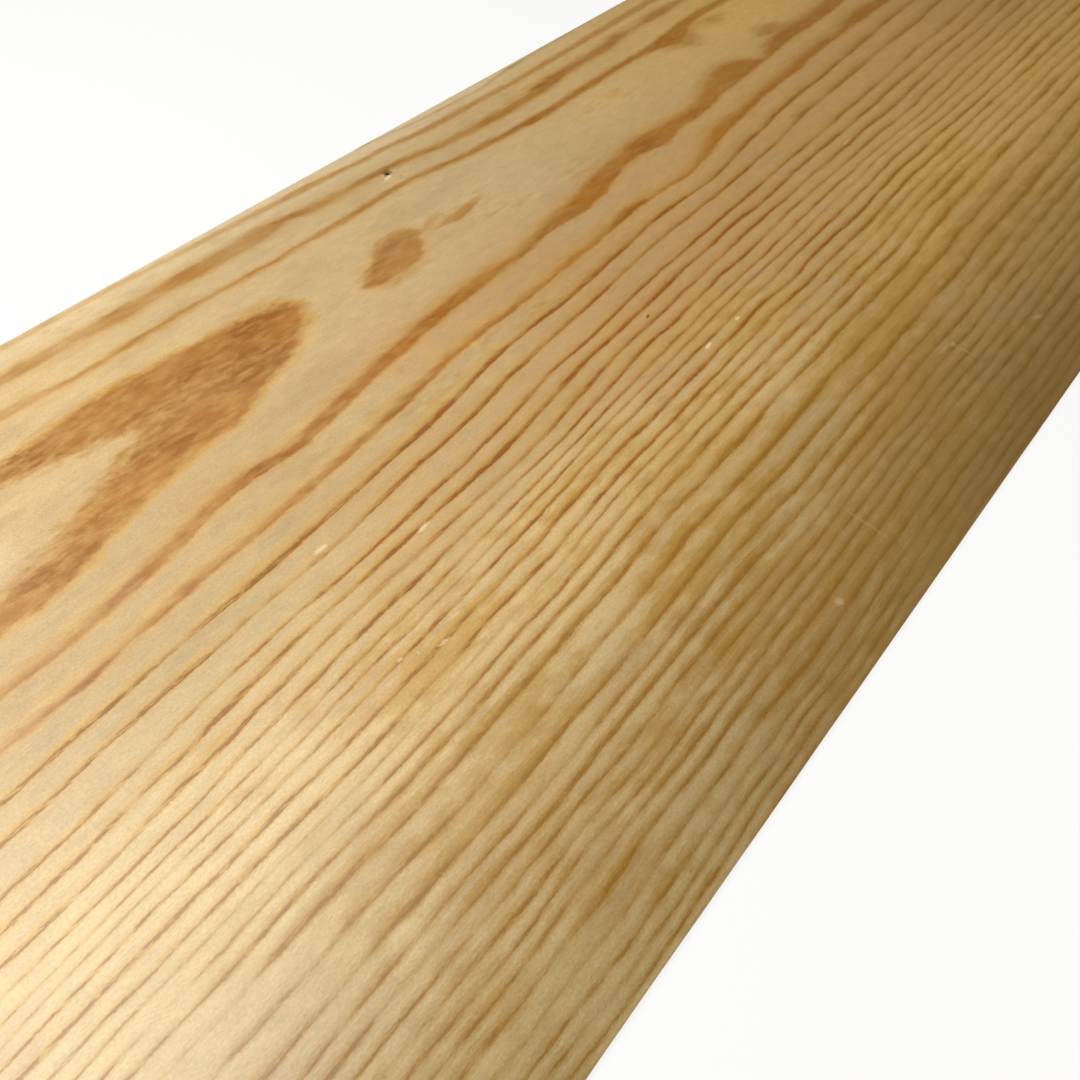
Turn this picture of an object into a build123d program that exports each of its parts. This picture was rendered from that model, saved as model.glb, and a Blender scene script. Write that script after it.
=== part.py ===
"""A sheet of softwood veneer as it lies unheld: flat over most of its width, with one long edge
curled down.

+X runs along the grain, +Y towards the flat long edge and +Z up. The origin is on the surface that
the sheet lies on, under the middle of its box. Millimetres."""

from build123d import *
from math import atan2, cos, degrees, radians, sin
import os

# Sheet
sheet_length = 600.0            # along the grain
sheet_width = 200.0             # across the grain, measured along the surface
sheet_thickness = 0.6

# Curl: the strip along one long edge that has dried into a gentle bend
curl_width = 75.0               # measured along the underside
curl_radius = 210.0             # of the underside

# Pinhole of a small dead twig, right through the leaf
pinhole_diameter = 1.8
pinhole_from_flat_edge = 18.0   # across the surface
pinhole_from_near_end = 280.0

# The sheet rests on its two long edges, so the line between their lower corners is level.
# Drawn with the flat strip level first, the curl brings its edge down by curl_fall.
# Tilting the whole section by flat_tilt puts that line back on the floor.
flat_width = sheet_width - curl_width
curl_angle = degrees(curl_width / curl_radius)
curl_run = curl_radius * sin(radians(curl_angle))
curl_fall = curl_radius * (1 - cos(radians(curl_angle)))
flat_tilt = degrees(atan2(curl_fall, flat_width + curl_run))
curl_edge_slope = curl_angle - flat_tilt

# Both end faces are square to the surface, so their top corners reach past the lower ones.
# Half of the difference between the two keeps the origin under the middle of the box.
chord = (flat_width + curl_run) / cos(radians(flat_tilt))
flat_overhang = sheet_thickness * sin(radians(flat_tilt))
curl_overhang = sheet_thickness * sin(radians(curl_edge_slope))
flat_edge_y = (chord + curl_overhang - flat_overhang) / 2

# Directions in the section: towards the curl along the flat strip, and square to the strip
strip_run = Vector(-cos(radians(flat_tilt)), sin(radians(flat_tilt)))
strip_up = Vector(sin(radians(flat_tilt)), cos(radians(flat_tilt)))

# The flat strip's own plane on the underside: X along the grain, Y towards the flat edge
strip_plane = Plane(
    origin=(0, flat_edge_y, 0),
    x_dir=(1, 0, 0),
    z_dir=(0, strip_up.X, strip_up.Y),
)


# Veneer sheet: the section of even thickness, drawn along the grain
with BuildPart() as veneer_sheet:
    with BuildSketch(Plane.YZ) as section:
        with BuildLine():
            # Underside, from the flat edge to the curled one
            back_corner = Vector(flat_edge_y, 0)
            back_flat = Line(back_corner, back_corner + strip_run * flat_width)
            back_curl = JernArc(back_flat @ 1, back_flat % 1, curl_radius, curl_angle)

            # Show face, one thickness above it and about the same centre
            show_corner = back_corner + strip_up * sheet_thickness
            show_flat = Line(show_corner, show_corner + strip_run * flat_width)
            show_curl = JernArc(show_flat @ 1, show_flat % 1, curl_radius + sheet_thickness, curl_angle)

            # The two trimmed edges
            Line(back_corner, show_corner)
            Line(back_curl @ 1, show_curl @ 1)
        make_face()
    extrude(amount=sheet_length / 2, both=True)

    # Pinhole, square to the flat strip
    with BuildSketch(strip_plane):
        with Locations((pinhole_from_near_end - sheet_length / 2, -pinhole_from_flat_edge)):
            Circle(pinhole_diameter / 2)
    extrude(amount=sheet_thickness, mode=Mode.SUBTRACT)

veneer_sheet.part.label = "veneer_sheet"

os.makedirs("parts", exist_ok=True)
export_step(veneer_sheet.part, "parts/veneer_sheet.step")

box = veneer_sheet.part.bounding_box()
print(f"box {box.size.X:.3f} x {box.size.Y:.3f} x {box.size.Z:.3f} mm, "
      f"X {box.min.X:.3f}..{box.max.X:.3f}, Y {box.min.Y:.3f}..{box.max.Y:.3f}, Z from {box.min.Z:.3f}")
print(f"flat strip tilts {flat_tilt:.2f} degrees, curled edge slopes {curl_edge_slope:.2f} degrees")
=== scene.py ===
"""A softwood veneer sheet lying face up on a pale floor, curled down along one long edge.

Metres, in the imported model's frame: +X along the grain, +Y towards the flat long edge, +Z up."""

from functools import partial
from math import atan2, cos, hypot, radians, sin

import bpy
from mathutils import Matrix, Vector


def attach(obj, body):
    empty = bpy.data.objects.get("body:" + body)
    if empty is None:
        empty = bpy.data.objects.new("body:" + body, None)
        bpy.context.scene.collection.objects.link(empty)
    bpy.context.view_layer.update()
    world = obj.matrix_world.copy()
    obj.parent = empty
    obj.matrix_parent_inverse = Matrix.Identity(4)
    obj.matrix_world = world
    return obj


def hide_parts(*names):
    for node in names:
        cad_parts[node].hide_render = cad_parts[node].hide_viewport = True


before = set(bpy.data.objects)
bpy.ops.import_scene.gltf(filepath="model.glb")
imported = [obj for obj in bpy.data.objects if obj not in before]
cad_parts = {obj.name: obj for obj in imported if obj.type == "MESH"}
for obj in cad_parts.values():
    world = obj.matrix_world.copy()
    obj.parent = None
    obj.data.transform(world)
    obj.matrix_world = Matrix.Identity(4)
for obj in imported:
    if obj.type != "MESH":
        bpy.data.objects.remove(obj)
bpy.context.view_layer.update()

# Veneer sheet
# One leaf of pine, sliced by a knife from a steamed half log and dried. It lies unheld on its two
# long edges: flat over most of its width, with the strip along one long edge curled down.
MM = 0.001
leaf_sizes = {
    "Length": 600 * MM,
    "Width": 200 * MM,
    "Thickness": 0.6 * MM,
    "Curl Width": 75 * MM,
    "Curl Radius": 210 * MM,
    "Hole Radius": 0.8 * MM,
    "Hole X": -20.4 * MM,
    "Hole From Edge": 18.5 * MM,
    "Hole Raggedness": 0.4 * MM,
    "Lip Height": 0.3 * MM,
    "Cockle": 0.25 * MM,
    "Ragged Edge": 0.12 * MM,
}

# The section stands on the lower corners of its two long edges, so the line between them is level.
# The grid's middle goes over the middle of the section's box.
curl_angle = leaf_sizes["Curl Width"] / leaf_sizes["Curl Radius"]
curl_fall = leaf_sizes["Curl Radius"] * (1 - cos(curl_angle))
curl_run = leaf_sizes["Curl Radius"] * sin(curl_angle)
section_run = leaf_sizes["Width"] - leaf_sizes["Curl Width"] + curl_run
flat_tilt = atan2(curl_fall, section_run)
overhang = leaf_sizes["Thickness"] * (sin(curl_angle - flat_tilt) - sin(flat_tilt))
leaf_sizes["Flat Tilt"] = flat_tilt
leaf_sizes["Flat Edge Y"] = (hypot(curl_fall, section_run) + overhang) / 2


def add(tree, kind, inputs=None, out=0, ramp=(), points=(), **settings):
    """Adds a node with its settings and links, and returns one of its outputs.

    A shader node's kind is given without ShaderNode. A ramp is what a Map Range turns its value from
    and to: low, high, low, high. Points are those of a curve."""
    node = tree.nodes.new(kind if "Node" in kind else "ShaderNode" + kind)
    for name, value in settings.items():
        setattr(node, name, value)
    ends = dict(zip(("From Min", "From Max", "To Min", "To Max"), ramp))
    for socket, value in {**(inputs or {}), **ends}.items():
        if isinstance(value, bpy.types.NodeSocket):
            tree.links.new(value, node.inputs[socket])
        else:
            node.inputs[socket].default_value = value
    if points:
        node.mapping.use_clip = False
        curve = node.mapping.curves[0].points
        curve[0].location, curve[1].location = points[0], points[-1]
        for point in points[1:-1]:
            curve.new(*point)
        node.mapping.update()
    return node.outputs[out]


leaf_tree = bpy.data.node_groups.new("veneer leaf", "GeometryNodeTree")
for name in leaf_sizes:
    leaf_tree.interface.new_socket(name, in_out="INPUT", socket_type="NodeSocketFloat")
leaf_tree.interface.new_socket("Wood", in_out="INPUT", socket_type="NodeSocketMaterial")
leaf_tree.interface.new_socket("Leaf", in_out="OUTPUT", socket_type="NodeSocketGeometry")
geo = partial(add, leaf_tree)
size = geo("NodeGroupInput").node.outputs

# Flat leaf: X along the grain, Y across it with the flat edge at +Y, underside at Z = 0. Its lines
# draw together round the pinhole, so that the rim and the torn lip have points enough: fully at the
# pinhole, and by a bell curve less with the distance.
gather_reach = (10 * MM, 6 * MM, 1.0)
gather_share = 0.8
bell_base = 0.37
grid = geo("GeometryNodeMeshGrid", {
    "Size X": size["Length"], "Size Y": size["Width"], "Vertices X": 401, "Vertices Y": 101,
})
half_width = geo("Math", {0: size["Width"], 1: 0.5}, operation="MULTIPLY")
half_length = geo("Math", {0: size["Length"], 1: 0.5}, operation="MULTIPLY")
hole_y = geo("Math", {0: half_width, 1: size["Hole From Edge"]}, operation="SUBTRACT")
hole_at = geo("CombineXYZ", {"X": size["Hole X"], "Y": hole_y})
here = geo("GeometryNodeInputPosition")
from_hole = geo("VectorMath", {0: here, 1: hole_at}, operation="SUBTRACT")
reach = geo("VectorMath", {0: from_hole, 1: gather_reach}, operation="DIVIDE")
reach = geo("VectorMath", {0: reach, 1: reach}, operation="MULTIPLY")
reach = geo("SeparateXYZ", {0: reach}).node.outputs
pull = geo("CombineXYZ", {
    "X": geo("Math", {0: bell_base, 1: reach["X"]}, operation="POWER"),
    "Y": geo("Math", {0: bell_base, 1: reach["Y"]}, operation="POWER"),
})
pull = geo("VectorMath", {0: pull, 1: from_hole}, operation="MULTIPLY")
pull = geo("VectorMath", {0: pull, "Scale": -gather_share}, operation="SCALE")
grid = geo("GeometryNodeSetPosition", {"Geometry": grid, "Offset": pull})

# Thickness: the grid is the underside, and its faces are drawn up to the show face
show = geo("GeometryNodeExtrudeMesh", {
    "Mesh": grid, "Offset Scale": size["Thickness"], "Individual": False,
}, mode="FACES")
block = geo("GeometryNodeJoinGeometry", {"Geometry": show})
leaf_tree.links.new(geo("GeometryNodeFlipFaces", {"Mesh": grid}), block.node.inputs["Geometry"])
block = geo("GeometryNodeMergeByDistance", {"Geometry": block, "Distance": 0.01 * MM})

# Pinhole: an oval, ragged bore, slanted to the grain, where a dead twig ran through the wood
hole_turn = radians(44)
hole_flatness = 0.6
middle_grey = (0.5, 0.5, 0.5)
drill = geo("GeometryNodeMeshCylinder", {
    "Vertices": 28, "Radius": size["Hole Radius"], "Depth": 6 * MM,
})
drill = geo("GeometryNodeTransform", {
    "Geometry": drill, "Translation": hole_at, "Rotation": (0.0, 0.0, hole_turn),
    "Scale": (1.0, hole_flatness, 1.0),
})
ragged = geo("TexNoise", {"Vector": here, "Scale": 1500.0, "Detail": 1.0}, "Color")
ragged = geo("VectorMath", {0: ragged, 1: middle_grey}, operation="SUBTRACT")
ragged = geo("VectorMath", {0: ragged, 1: (1.0, 1.0, 0.0)}, operation="MULTIPLY")
ragged = geo("VectorMath", {0: ragged, "Scale": size["Hole Raggedness"]}, operation="SCALE")
drill = geo("GeometryNodeSetPosition", {"Geometry": drill, "Offset": ragged})
block = geo("GeometryNodeMeshBoolean", {"Mesh 1": block}, operation="DIFFERENCE", solver="EXACT")
leaf_tree.links.new(drill, block.node.inputs["Mesh 2"])

# Place in the wood, in millimetres: along the grain, across from the flat edge, up from the back
flat = geo("SeparateXYZ", {0: here}).node.outputs
across = geo("Math", {0: half_width, 1: flat["Y"]}, operation="SUBTRACT")
wood_at = geo("CombineXYZ", {"X": flat["X"], "Y": across, "Z": flat["Z"]})
wood_mm = geo("VectorMath", {0: wood_at, "Scale": 1 / MM}, operation="SCALE")
wood_maps = {"wood_mm": (wood_mm, "FLOAT_VECTOR", "POINT")}

# Slow noises of the wood, centred on zero: the length of each pattern along and across the grain, mm
slow_noises = {"waver": (24.0, 9.0), "cloud": (60.0, 22.0)}
for name, (long_mm, wide_mm) in slow_noises.items():
    noise_at = geo("VectorMath", {0: wood_mm, 1: (1 / long_mm, 1 / wide_mm, 0.0)}, operation="MULTIPLY")
    noise = geo("TexNoise", {"Vector": noise_at, "Scale": 1.0, "Detail": 2.0}, "Color",
                noise_dimensions="2D")
    noise = geo("VectorMath", {0: noise, 1: middle_grey}, operation="SUBTRACT")
    wood_maps[name] = (noise, "FLOAT_VECTOR", "POINT")

# Slow drift of the grain across the leaf, of which each wave is some 34 mm long and 15 mm wide
drift_mm = 2.0
slow_at = geo("VectorMath", {0: wood_mm, 1: (1 / 34, 1 / 15, 0.0)}, operation="MULTIPLY")
slow = geo("TexNoise", {"Vector": slow_at, "Scale": 1.0, "Detail": 2.0})
slow = geo("Math", {0: slow, 1: 0.5}, operation="SUBTRACT")
wood_split = geo("SeparateXYZ", {0: wood_mm}).node.outputs
wavered = geo("Math", {0: slow, 1: drift_mm, 2: wood_split["Y"]}, operation="MULTIPLY_ADD")

# Grain guides: how far the grain runs off its line at mid-length, mm, for places along the leaf, mm.
# Each guide is named by its distance from the flat edge at mid-length. The place of a ring between two
# guides is found in a few rounds, because what it is moved by depends on where it is moved to.
grain_guides = {
    14: [(-300, -9), (-140, -6.9), (-100, -6.4), (-60, -5.3), (-40, -4), (-20, -2.9), (0, 0), (20, 1.3),
         (35, 2), (50, 0.6), (70, -0.8), (90, -1.6), (120, -2.4), (300, -4)],
    30: [(-300, -7), (-150, -5), (-110, -4.3), (-85, -4.7), (-60, -4), (-20, -3.9), (-8, -2), (0, -0.2),
         (20, 1.4), (45, 2), (80, 1.5), (92, 2.2), (105, 0.8), (120, -0.2), (150, 0), (300, -2)],
    74: [(-300, 22), (-180, 16), (-165, 14.3), (-150, 12.3), (-130, 8.7), (-115, 10), (-105, 8.5),
         (-90, 5.5), (-65, 3.6), (-40, 1.9), (-20, 0.5), (0, 0), (10, -3.5), (22, -6), (45, -4.8),
         (60, -4.7), (72, -6.5), (90, -9.4), (102, -8), (120, -9.7), (150, -10.2), (300, -13)],
    87: [(-300, 20), (-200, 14.5), (-180, 13.5), (-150, 10.6), (-130, 9.8), (-100, 7.1), (-75, 4.2),
         (-50, 3), (-20, 1.4), (0, 0), (25, 0.7), (40, -2.2), (50, -4.5), (70, -5.2), (85, -7),
         (100, -7), (120, -8.5), (150, -9.4), (300, -12)],
    98: [(-300, 20), (-200, 14), (-180, 12), (-150, 10.8), (-130, 10.3), (-110, 8.5), (-90, 7),
         (-75, 4.5), (-60, 3.6), (-30, 2), (0, 0), (25, 0.1), (45, -1.6), (60, -2.9), (72, -4.8),
         (100, -5.3), (125, -6.5), (150, -7.4), (300, -11)],
    111: [(-300, 20), (-200, 13.2), (-180, 11.4), (-150, 9.3), (-130, 8.6), (-100, 7.2), (-85, 5.8),
          (-70, 4), (-50, 2.2), (-30, 0.9), (0, 0), (30, -1), (45, -1.5), (80, -1.7), (110, -2.6),
          (150, -3.7), (300, -7)],
    121: [(-300, 19), (-210, 13.5), (-180, 11.1), (-150, 9), (-120, 7.1), (-90, 6), (-70, 4.2),
          (-50, 2.7), (-20, 0.6), (0, 0), (30, -0.8), (60, -1.4), (100, -1.3), (125, -2.3), (300, -6)],
    136: [(-300, 14), (-210, 9), (-180, 7.9), (-150, 6.6), (-120, 4.9), (-95, 3.2), (-80, 2.1),
          (-60, 1.3), (-30, 0.2), (0, -0.1), (25, -0.7), (55, -2), (90, -1.6), (120, -1.5), (300, -4)],
    152: [(-300, 7), (-200, 4.8), (-150, 4.2), (-120, 3), (-90, 1.4), (-60, 0.3), (-20, -0.3),
          (0, -0.2), (25, -0.8), (50, -2.2), (75, -2.6), (130, -2.5), (300, -4)],
    162: [(-300, 5), (-200, 3.8), (-150, 3.2), (-110, 2.3), (-85, 1), (-55, 1.1), (-30, 0.1), (0, 0),
          (25, -0.4), (50, -1.2), (80, -1.5), (110, -2.4), (300, -4)],
    176: [(-300, 2.5), (-190, 1.4), (-140, 1.1), (-90, 0.3), (-60, 0.6), (-30, -0.2), (0, 0.1),
          (30, -0.3), (70, -0.6), (120, -1), (300, -1.5)],
    190: [(-300, 1), (-100, 0.5), (-30, -0.4), (0, 0), (100, 0), (300, -0.3)],
}
guide_places = list(grain_guides)
guide_offsets = [
    geo("FloatCurve", {"Value": wood_split["X"]}, points=run) for run in grain_guides.values()
]
rounds = 3
ring_place = wavered
for _ in range(rounds):
    offset = guide_offsets[0]
    for low, high, next_offset in zip(guide_places, guide_places[1:], guide_offsets[1:]):
        share = geo("MapRange", {"Value": ring_place}, ramp=(low, high))
        offset = geo("Mix", {0: share, 2: offset, 3: next_offset}, data_type="FLOAT")
    ring_place = geo("Math", {0: wavered, 1: offset}, operation="SUBTRACT")

# The heart of the log lies under the broad flames, so the rings spread outwards through the leaf
heart_place = 51.8
heart_depth = 80.0
from_heart = geo("Math", {0: ring_place, 1: heart_place}, operation="SUBTRACT")
outward = geo("Math", {0: from_heart}, operation="SIGN")
thickness_mm = geo("Math", {0: size["Thickness"], 1: 1 / MM}, operation="MULTIPLY")
below_face = geo("Math", {0: thickness_mm, 1: wood_split["Z"]}, operation="SUBTRACT")
ring_place = geo("Math", {0: from_heart, 1: from_heart}, operation="MULTIPLY")
ring_place = geo("Math", {0: below_face, 1: -2 * heart_depth, 2: ring_place}, operation="MULTIPLY_ADD")
ring_place = geo("Math", {0: ring_place, 1: 0.0}, operation="MAXIMUM")
ring_place = geo("Math", {0: ring_place}, operation="SQRT")
ring_place = geo("Math", {0: ring_place, 1: outward, 2: heart_place}, operation="MULTIPLY_ADD")
wood_maps["ring_mm"] = (ring_place, "FLOAT", "POINT")

# Flame: the knife grazed the top of one ring, so its latewood shows as a long brown tongue, which
# opens towards the near end round a pale pocket of the ring before it. Each point is a place along
# the leaf and the two edges across it, mm. Stored as the depth inside the flame and the pocket, with
# the darker patches.
flame_outline = [
    (-300, 41, 90), (-180, 38, 80.2), (-165, 37.6, 79), (-150, 37, 74.5), (-140, 36, 72),
    (-130, 35, 70), (-115, 36, 68.8), (-108, 36.8, 65.5), (-100, 37.6, 63), (-93, 38.3, 61),
    (-88, 38.8, 57.5), (-83, 39.8, 54.2), (-80, 42, 50.5), (-78, 45.5, 47), (-76, 49, 43),
    (-70, 60, 30), (300, 60, 30),
]
pocket_outline = [
    (-300, 47, 80), (-180, 47, 70), (-170, 47, 67.5), (-160, 46, 65), (-155, 47.5, 63),
    (-150, 49, 60), (-145, 50, 57.5), (-140, 51.5, 55), (-135, 53, 53.5), (-128, 58, 48),
    (300, 60, 46),
]


def trace(outline, top_soft=1.0, bottom_soft=1.0):
    """Returns the columns of an outline at this place along the leaf, and the depth inside it."""
    columns = [
        geo("FloatCurve", {"Value": wood_split["X"]},
            points=[(point[0], point[column]) for point in outline])
        for column in range(1, len(outline[0]))
    ]
    below_top = geo("Math", {0: wood_split["Y"], 1: columns[0]}, operation="SUBTRACT")
    below_top = geo("Math", {0: below_top, 1: top_soft}, operation="DIVIDE")
    above_bottom = geo("Math", {0: columns[1], 1: wood_split["Y"]}, operation="SUBTRACT")
    above_bottom = geo("Math", {0: above_bottom, 1: bottom_soft}, operation="DIVIDE")
    return columns, geo("Math", {0: below_top, 1: above_bottom}, operation="MINIMUM")


outline_depths = [trace(outline)[1] for outline in (flame_outline, pocket_outline)]

# Darker patches inside the flame: place along the leaf and across it, half length and half width, mm
flame_patches = [
    (-104, 56, 9, 6), (-112, 46.5, 6, 3.5), (-91, 43, 6, 3.5), (-130, 64.5, 4, 3), (-147, 62, 4, 3),
    (-150, 41, 6, 4), (-163, 74, 8, 2.5), (-124, 41, 5, 2.5),
]
patch = 0.0
for x_mm, t_mm, half_long, half_wide in flame_patches:
    way = geo("VectorMath", {0: wood_mm, 1: (x_mm, t_mm, 0.0)}, operation="SUBTRACT")
    way = geo("VectorMath", {0: way, 1: (1 / half_long, 1 / half_wide, 0.0)}, operation="MULTIPLY")
    way = geo("VectorMath", {0: way}, "Value", operation="LENGTH")
    way = geo("MapRange", {"Value": way}, ramp=(1.6, 0.2), interpolation_type="SMOOTHSTEP")
    patch = geo("Math", {0: way, 1: patch}, operation="MAXIMUM")
outline_depths = geo("CombineXYZ", {
    "X": outline_depths[0], "Y": outline_depths[1], "Z": patch,
})
wood_maps["flame_mm"] = (outline_depths, "FLOAT_VECTOR", "POINT")

# Bands of latewood in the wide rings beside the flame, which swell where the knife cut them at a
# slant. Each has the softness of its two edges in mm, and points of place along the leaf, its two
# edges across and how dark it is. Each face stores the edges, darkness and softness of the band
# that is nearest to its middle.
latewood_bands = {
    "first line": (2.9, 1.1, [
        (-300, 94, 97, 0.7), (-187, 89, 91.5, 0.75), (-170, 88, 91, 0.85), (-150, 84.5, 88.5, 0.85),
        (-130, 81, 85, 0.95), (-115, 82, 86, 1), (-100, 79, 83.5, 0.95), (-75, 75.5, 80, 0.95),
        (-50, 73, 78, 0.75), (-30, 74, 77, 0.7), (-20, 71.5, 76, 0.75), (-10, 70, 77, 0.85),
        (0, 68.5, 76.5, 0.9), (10, 66.5, 74, 0.85), (20, 65.5, 71.5, 0.75), (30, 64, 72.5, 0.84),
        (35, 64, 74, 0.84), (45, 65, 72, 0.76), (60, 66, 72, 0.88), (72, 62, 70, 0.76),
        (85, 58, 69.5, 0.8), (92, 58.5, 69, 0.9), (97, 62, 68.5, 0.88), (101, 66, 68.5, 0.78),
        (106, 63.5, 68, 0.9), (120, 60, 67, 0.95), (140, 60.5, 67, 0.95), (156, 60, 66, 0.9),
        (300, 56, 61, 0.7),
    ]),
    "second line": (2.9, 0.9, [
        (-300, 106, 108.5, 0.85), (-190, 98.8, 101, 0.9), (-175, 98, 100.5, 1), (-168, 97.6, 99.2, 0.7),
        (-160, 96.4, 98.9, 0.95), (-150, 95.2, 98, 1.05), (-138, 95, 97.8, 1.05),
        (-128, 94.4, 97, 0.95), (-110, 92.8, 95.6, 1), (-90, 90.6, 93.6, 1.05),
        (-75, 88.6, 91.2, 1), (-50, 88, 90.4, 0.9), (-25, 86.9, 89.2, 0.85),
        (-10, 85.8, 88.4, 0.9), (0, 83.9, 88, 0.95), (5, 85, 87.9, 0.95), (10, 86, 87.9, 0.9),
        (22, 86.8, 88.8, 0.9), (32, 85.4, 88, 0.75), (40, 82.2, 86.5, 0.8), (48, 79.6, 84.6, 0.9),
        (55, 78.6, 83.6, 1), (65, 79, 83, 0.95), (75, 77.8, 81.6, 0.9), (90, 77.2, 80.8, 0.95),
        (100, 76.2, 80.8, 1), (110, 75.4, 79.6, 0.9), (122, 75, 79, 1), (130, 75.9, 79, 0.85),
        (140, 73.8, 79, 0.95), (150, 72.8, 79, 1), (160, 73.8, 79, 0.95), (300, 70, 74, 0.8),
    ]),
    "third line": (1.1, 1.3, [
        (-300, 20, 22.5, 0.4), (-145, 22.5, 26, 0.4), (-137, 23, 26, 0.5), (-128, 25, 27, 0.65),
        (-115, 24.4, 26.8, 0.65), (-100, 24.2, 26.4, 0.6), (-88, 24.4, 26.4, 0.45),
        (-78, 25.2, 27.2, 0.6), (-68, 25.5, 27.5, 0.7), (-58, 25.5, 27.3, 0.55),
        (-50, 25.2, 28, 0.65), (-40, 25, 28, 0.75), (-28, 24.8, 27.2, 0.65), (-18, 25.2, 27.6, 0.6),
        (-8, 26.8, 29.6, 0.65), (0, 28.4, 31, 0.7), (10, 29, 32, 0.7), (20, 30, 33, 0.8),
        (30, 30.2, 34, 0.85), (40, 30.5, 33.6, 0.75), (60, 29.7, 33.2, 0.85), (80, 30, 33, 0.85),
        (90, 30, 34.5, 0.85), (98, 29, 37.5, 0.95), (105, 28.5, 36, 0.85), (112, 27.5, 32.5, 0.85),
        (122, 27, 31, 0.85), (130, 27, 31, 0.75), (138, 27.5, 31.5, 0.7), (300, 26, 30, 0.6),
    ]),
    "fourth line": (1.8, 1.6, [
        (-300, 8, 13, 0.4), (-140, 10.5, 14.5, 0.5), (-131, 10.2, 15, 0.65), (-122, 10.5, 14.5, 0.4),
        (-112, 10.8, 16, 0.6), (-105, 10.5, 16.5, 0.7), (-97, 10.5, 15.5, 0.45),
        (-88, 10, 16, 0.75), (-80, 10.5, 16.5, 0.55), (-70, 10, 16.5, 0.45), (-60, 10, 16, 0.5),
        (-54, 11, 14.5, 0.65), (-46, 12.5, 17, 0.5), (-35, 13.5, 17, 0.45), (-20, 14.5, 17.5, 0.6),
        (-10, 15.5, 18.5, 0.6), (0, 17.5, 21, 0.55), (10, 18.5, 22, 0.55), (25, 18.8, 23.2, 0.75),
        (40, 18.5, 23, 0.65), (48, 16.8, 22.8, 0.8), (60, 16.4, 20.8, 0.8), (72, 16.5, 20.5, 0.65),
        (82, 16, 20.8, 0.7), (92, 14.8, 19, 0.75), (102, 15.5, 18.5, 0.4), (112, 14.8, 18.8, 0.7),
        (118, 14.2, 19, 0.75), (130, 15.5, 18, 0.5), (300, 13, 17, 0.5),
    ]),
    "fifth line": (1.0, 1.0, [
        (-300, -4, -2, 0.4), (-130, 0, 2.5, 0.3), (-100, 0.5, 2.5, 0.3), (-75, 2, 4, 0.3),
        (-50, 3, 5.5, 0.4), (-30, 4, 6.5, 0.5), (-20, 5.5, 7.5, 0.5), (-5, 6, 8.5, 0.45),
        (0, 7, 9.5, 0.5), (10, 7.5, 10.5, 0.5), (30, 8, 10.5, 0.45), (50, 8.5, 11, 0.45),
        (70, 8, 10.5, 0.5), (100, 7, 10, 0.5), (120, 6.5, 9.5, 0.5), (300, 5, 8, 0.4),
    ]),
}
far_outside = -50.0
band_edges, band_softness, band_depth = (0.0, 0.0, 0.0), (1.0, 1.0, 0.0), far_outside
for top_soft, bottom_soft, outline in latewood_bands.values():
    columns, depth = trace(outline, top_soft, bottom_soft)
    depth = geo("GeometryNodeFieldOnDomain", {0: depth}, data_type="FLOAT", domain="FACE")
    is_nearer = geo("Math", {0: depth, 1: band_depth}, operation="GREATER_THAN")
    band_depth = geo("Math", {0: depth, 1: band_depth}, operation="MAXIMUM")
    columns = geo("CombineXYZ", {"X": columns[0], "Y": columns[1], "Z": columns[2]})
    band_edges = geo("Mix", {0: is_nearer, 4: band_edges, 5: columns}, 1, data_type="VECTOR")
    band_softness = geo("Mix", {
        0: is_nearer, 4: band_softness, 5: (top_soft, bottom_soft, 0.0),
    }, 1, data_type="VECTOR")
wood_maps["band_edges"] = (band_edges, "FLOAT_VECTOR", "CORNER")
wood_maps["band_softness"] = (band_softness, "FLOAT_VECTOR", "CORNER")

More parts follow.
